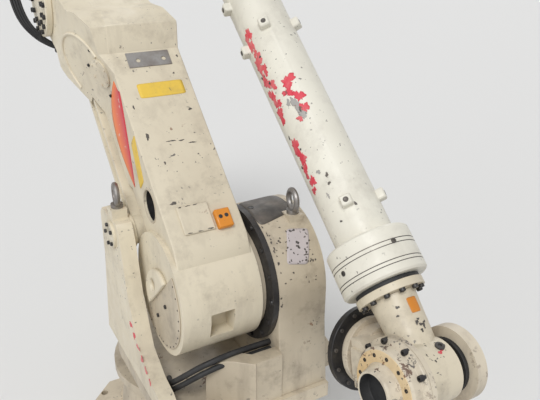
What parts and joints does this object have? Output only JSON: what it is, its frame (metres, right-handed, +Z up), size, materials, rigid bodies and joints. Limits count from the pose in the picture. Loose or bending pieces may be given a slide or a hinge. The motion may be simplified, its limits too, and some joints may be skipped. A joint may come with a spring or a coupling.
{
  "type": "industrial robot arm",
  "caption": "Large jointed industrial robot arm in worn cream paint, with a parallel link and a bent wrist, standing on a fixed round base.",
  "frame": {"origin": "centre of the base's square foot, on its underside", "axes": "+Z up along the turning axis; the arm faces -Y; +X is to the left of someone who faces the arm's front"},
  "size_m": [0.7988, 1.8188, 2.0895],
  "materials": {
    "cream_paint": "satin",
    "bare_steel": "satin",
    "blackened_steel": "satin",
    "worn_ochre": "matte",
    "orange_paint": "satin",
    "black_rubber": "matte"
  },
  "bodies": {
    "base": {"base_casting": "cream_paint", "socket_box": "cream_paint", "bearing_ring": "bare_steel"},
    "turntable": {"turning_table": "cream_paint", "left_cheek": "cream_paint", "pivot_cap": "cream_paint", "right_column": "cream_paint", "reducer_ring": "blackened_steel", "left_eye_bolt": "bare_steel", "right_eye_bolt": "bare_steel", "turn_motor": "blackened_steel", "drum_cover": "cream_paint"},
    "lower_arm": {"lower_arm": "cream_paint", "hub_flange": "cream_paint", "hub_cover": "cream_paint", "access_cover": "cream_paint", "arm_pad": "cream_paint", "orange_stop": "orange_paint", "elbow_flange": "cream_paint", "hose_bundle": "black_rubber", "grey_plate": "bare_steel"},
    "tie_link": {"tie_link": "cream_paint"},
    "elbow_bracket": {"elbow_bracket": "cream_paint"},
    "forearm": {"elbow_housing": "cream_paint", "forearm_tube": "cream_paint", "forearm_collar": "cream_paint", "wrist_motor_1": "blackened_steel", "wrist_motor_2": "blackened_steel", "wrist_motor_3": "blackened_steel"},
    "wrist_rotor": {"neck_flange": "cream_paint", "wrist_neck": "cream_paint"},
    "wrist_yoke": {"bend_cover": "worn_ochre", "bend_seal": "blackened_steel", "roll_housing": "cream_paint", "roll_ring": "cream_paint"},
    "tool_flange": {"tool_flange": "bare_steel"}
  },
  "joints": [
    {"name": "turn", "type": "hinge", "parent": "base", "child": "turntable", "pos_m": [0, 0, 0.3726], "axis": [0, 0, 1], "range_deg": [-150, 150]},
    {"name": "shoulder", "type": "hinge", "parent": "turntable", "child": "lower_arm", "pos_m": [0.08, -0.24, 0.74], "axis": [1, 0, 0], "range_deg": [-2, 100]},
    {"name": "link_foot", "type": "hinge", "parent": "turntable", "child": "tie_link", "pos_m": [0.08, -0.0364, 0.8569], "axis": [1, 0, 0], "range_deg": [-2, 100]},
    {"name": "bracket_level", "type": "hinge", "parent": "lower_arm", "child": "elbow_bracket", "pos_m": [0.08, 0.62387, 1.55407], "axis": [1, 0, 0], "range_deg": [-100, 2]},
    {"name": "elbow", "type": "hinge", "parent": "elbow_bracket", "child": "forearm", "pos_m": [0.08, 0.62387, 1.55407], "axis": [-1, 0, 0], "range_deg": [0, 75]},
    {"name": "forearm_roll", "type": "hinge", "parent": "forearm", "child": "wrist_rotor", "pos_m": [0.3265, -0.81894, 0.67237], "axis": [0, -0.766, -0.6428], "range_deg": [-350, 350]},
    {"name": "wrist_bend", "type": "hinge", "parent": "wrist_rotor", "child": "wrist_yoke", "pos_m": [0.3265, -0.81894, 0.67237], "axis": [-0.9959, -0.0583, 0.0694], "range_deg": [-2, 245]},
    {"name": "tool_roll", "type": "hinge", "parent": "wrist_yoke", "child": "tool_flange", "pos_m": [0.3265, -0.81894, 0.67237], "axis": [-0.0762, 0.9531, -0.2931], "range_deg": [-350, 350]}
  ],
  "couplings": [
    {"joint": "link_foot", "follows": "shoulder", "ratio": 1},
    {"joint": "bracket_level", "follows": "shoulder", "ratio": -1}
  ]
}
